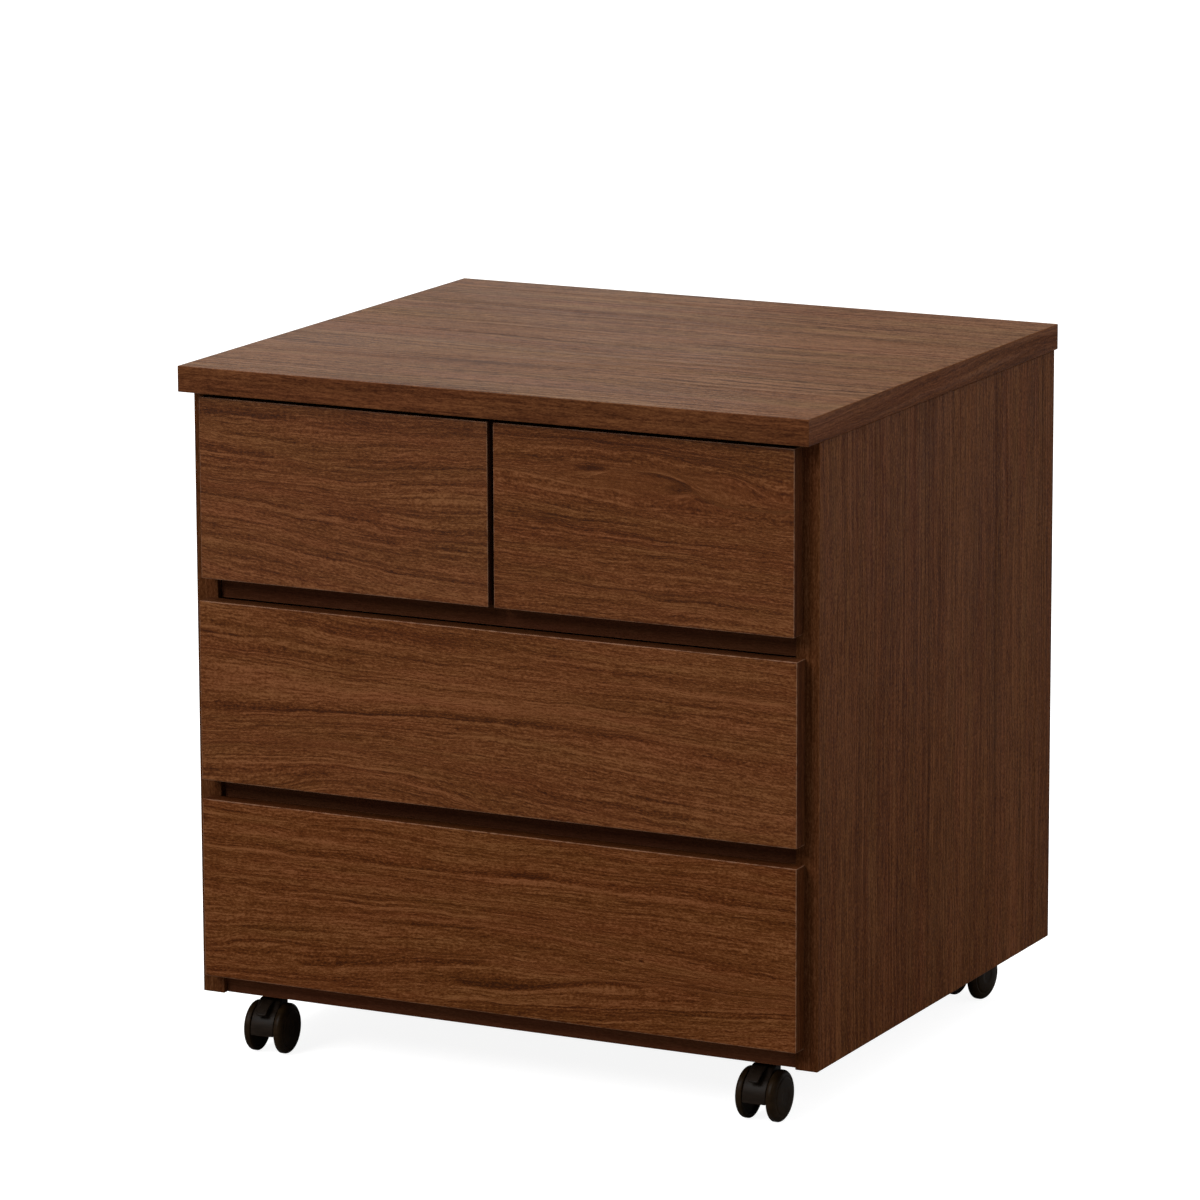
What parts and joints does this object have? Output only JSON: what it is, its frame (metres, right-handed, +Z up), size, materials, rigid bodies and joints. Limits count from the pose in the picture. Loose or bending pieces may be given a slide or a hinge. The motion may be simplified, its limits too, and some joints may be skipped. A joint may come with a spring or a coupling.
{
  "type": "closet drawer chest",
  "caption": "Low walnut-look drawer chest with finger-gap fronts, boxes on wooden runners and swivelling twin-wheel casters.",
  "frame": {"origin": "on the floor under the middle of the top board", "axes": "+Z up, the drawer fronts face -Y, +X to the right seen from the front"},
  "size_m": [0.6, 0.528, 0.6165],
  "materials": {
    "walnut_board": "satin walnut-grain foil on board",
    "walnut_front": "satin walnut-grain foil on board, grain across",
    "box_board": "matt pale foil on board",
    "thin_panel": "matt thin fibreboard",
    "runner_wood": "planed solid wood",
    "black_plastic": "satin black moulding",
    "plated_steel": "bright zinc plate"
  },
  "bodies": {
    "chest": {"top_board": "walnut_board", "side_panel_left": "walnut_board", "side_panel_right": "walnut_board", "bottom_board": "walnut_board", "back_panel": "thin_panel", "top_rail_front": "walnut_board", "top_rail_rear": "walnut_board", "middle_rail_front": "walnut_board", "middle_rail_rear": "walnut_board", "lower_rail_front": "walnut_board", "centre_divider": "walnut_board", "runner_top_left_outer": "runner_wood", "runner_top_left_inner": "runner_wood", "runner_top_right_inner": "runner_wood", "runner_top_right_outer": "runner_wood", "runner_middle_left": "runner_wood", "runner_middle_right": "runner_wood", "runner_lower_left": "runner_wood", "runner_lower_right": "runner_wood", "caster_front_left_stem": "plated_steel", "caster_front_right_stem": "plated_steel", "caster_rear_left_stem": "plated_steel", "caster_rear_right_stem": "plated_steel"},
    "drawer_top_left": {"drawer_top_left_front": "walnut_front", "drawer_top_left_side_left": "box_board", "drawer_top_left_side_right": "box_board", "drawer_top_left_back": "box_board", "drawer_top_left_bottom": "thin_panel"},
    "drawer_top_right": {"drawer_top_right_front": "walnut_front", "drawer_top_right_side_left": "box_board", "drawer_top_right_side_right": "box_board", "drawer_top_right_back": "box_board", "drawer_top_right_bottom": "thin_panel"},
    "drawer_middle": {"drawer_middle_front": "walnut_front", "drawer_middle_side_left": "box_board", "drawer_middle_side_right": "box_board", "drawer_middle_back": "box_board", "drawer_middle_bottom": "thin_panel"},
    "drawer_lower": {"drawer_lower_front": "walnut_front", "drawer_lower_side_left": "box_board", "drawer_lower_side_right": "box_board", "drawer_lower_back": "box_board", "drawer_lower_bottom": "thin_panel"},
    "caster_front_left": {"caster_front_left_hood": "black_plastic", "caster_front_left_axle": "plated_steel"},
    "caster_front_left_wheel_left": {"caster_front_left_wheel_left": "black_plastic"},
    "caster_front_left_wheel_right": {"caster_front_left_wheel_right": "black_plastic"},
    "caster_front_right": {"caster_front_right_hood": "black_plastic", "caster_front_right_axle": "plated_steel"},
    "caster_front_right_wheel_left": {"caster_front_right_wheel_left": "black_plastic"},
    "caster_front_right_wheel_right": {"caster_front_right_wheel_right": "black_plastic"},
    "caster_rear_left": {"caster_rear_left_hood": "black_plastic", "caster_rear_left_axle": "plated_steel"},
    "caster_rear_left_wheel_left": {"caster_rear_left_wheel_left": "black_plastic"},
    "caster_rear_left_wheel_right": {"caster_rear_left_wheel_right": "black_plastic"},
    "caster_rear_right": {"caster_rear_right_hood": "black_plastic", "caster_rear_right_axle": "plated_steel"},
    "caster_rear_right_wheel_left": {"caster_rear_right_wheel_left": "black_plastic"},
    "caster_rear_right_wheel_right": {"caster_rear_right_wheel_right": "black_plastic"}
  },
  "joints": [
    {"name": "drawer_top_left_slide", "type": "slide", "parent": "chest", "child": "drawer_top_left", "axis": [0, -1, 0], "range_m": [0, 0.33]},
    {"name": "drawer_top_right_slide", "type": "slide", "parent": "chest", "child": "drawer_top_right", "axis": [0, -1, 0], "range_m": [0, 0.33]},
    {"name": "drawer_middle_slide", "type": "slide", "parent": "chest", "child": "drawer_middle", "axis": [0, -1, 0], "range_m": [0, 0.33]},
    {"name": "drawer_lower_slide", "type": "slide", "parent": "chest", "child": "drawer_lower", "axis": [0, -1, 0], "range_m": [0, 0.33]},
    {"name": "caster_front_left_swivel", "type": "hinge", "parent": "chest", "child": "caster_front_left", "pos_m": [-0.2405, -0.2115, 0.0525], "axis": [0, 0, 1], "continuous": true},
    {"name": "caster_front_left_wheel_left_spin", "type": "hinge", "parent": "caster_front_left", "child": "caster_front_left_wheel_left", "pos_m": [-0.24005, -0.21999, 0.0225], "axis": [0.9986, 0.0523, 0], "continuous": true},
    {"name": "caster_front_left_wheel_right_spin", "type": "hinge", "parent": "caster_front_left", "child": "caster_front_left_wheel_right", "pos_m": [-0.24005, -0.21999, 0.0225], "axis": [0.9986, 0.0523, 0], "continuous": true},
    {"name": "caster_front_right_swivel", "type": "hinge", "parent": "chest", "child": "caster_front_right", "pos_m": [0.2405, -0.2115, 0.0525], "axis": [0, 0, 1], "continuous": true},
    {"name": "caster_front_right_wheel_left_spin", "type": "hinge", "parent": "caster_front_right", "child": "caster_front_right_wheel_left", "pos_m": [0.24035, -0.22, 0.0225], "axis": [0.9998, -0.0175, 0], "continuous": true},
    {"name": "caster_front_right_wheel_right_spin", "type": "hinge", "parent": "caster_front_right", "child": "caster_front_right_wheel_right", "pos_m": [0.24035, -0.22, 0.0225], "axis": [0.9998, -0.0175, 0], "continuous": true},
    {"name": "caster_rear_left_swivel", "type": "hinge", "parent": "chest", "child": "caster_rear_left", "pos_m": [-0.2405, 0.2245, 0.0525], "axis": [0, 0, 1], "continuous": true},
    {"name": "caster_rear_left_wheel_left_spin", "type": "hinge", "parent": "caster_rear_left", "child": "caster_rear_left_wheel_left", "pos_m": [-0.23976, 0.21603, 0.0225], "axis": [0.9962, 0.0872, 0], "continuous": true},
    {"name": "caster_rear_left_wheel_right_spin", "type": "hinge", "parent": "caster_rear_left", "child": "caster_rear_left_wheel_right", "pos_m": [-0.23976, 0.21603, 0.0225], "axis": [0.9962, 0.0872, 0], "continuous": true},
    {"name": "caster_rear_right_swivel", "type": "hinge", "parent": "chest", "child": "caster_rear_right", "pos_m": [0.2405, 0.2245, 0.0525], "axis": [0, 0, 1], "continuous": true},
    {"name": "caster_rear_right_wheel_left_spin", "type": "hinge", "parent": "caster_rear_right", "child": "caster_rear_right_wheel_left", "pos_m": [0.23932, 0.21608, 0.0225], "axis": [0.9903, -0.1392, 0], "continuous": true},
    {"name": "caster_rear_right_wheel_right_spin", "type": "hinge", "parent": "caster_rear_right", "child": "caster_rear_right_wheel_right", "pos_m": [0.23932, 0.21608, 0.0225], "axis": [0.9903, -0.1392, 0], "continuous": true}
  ]
}
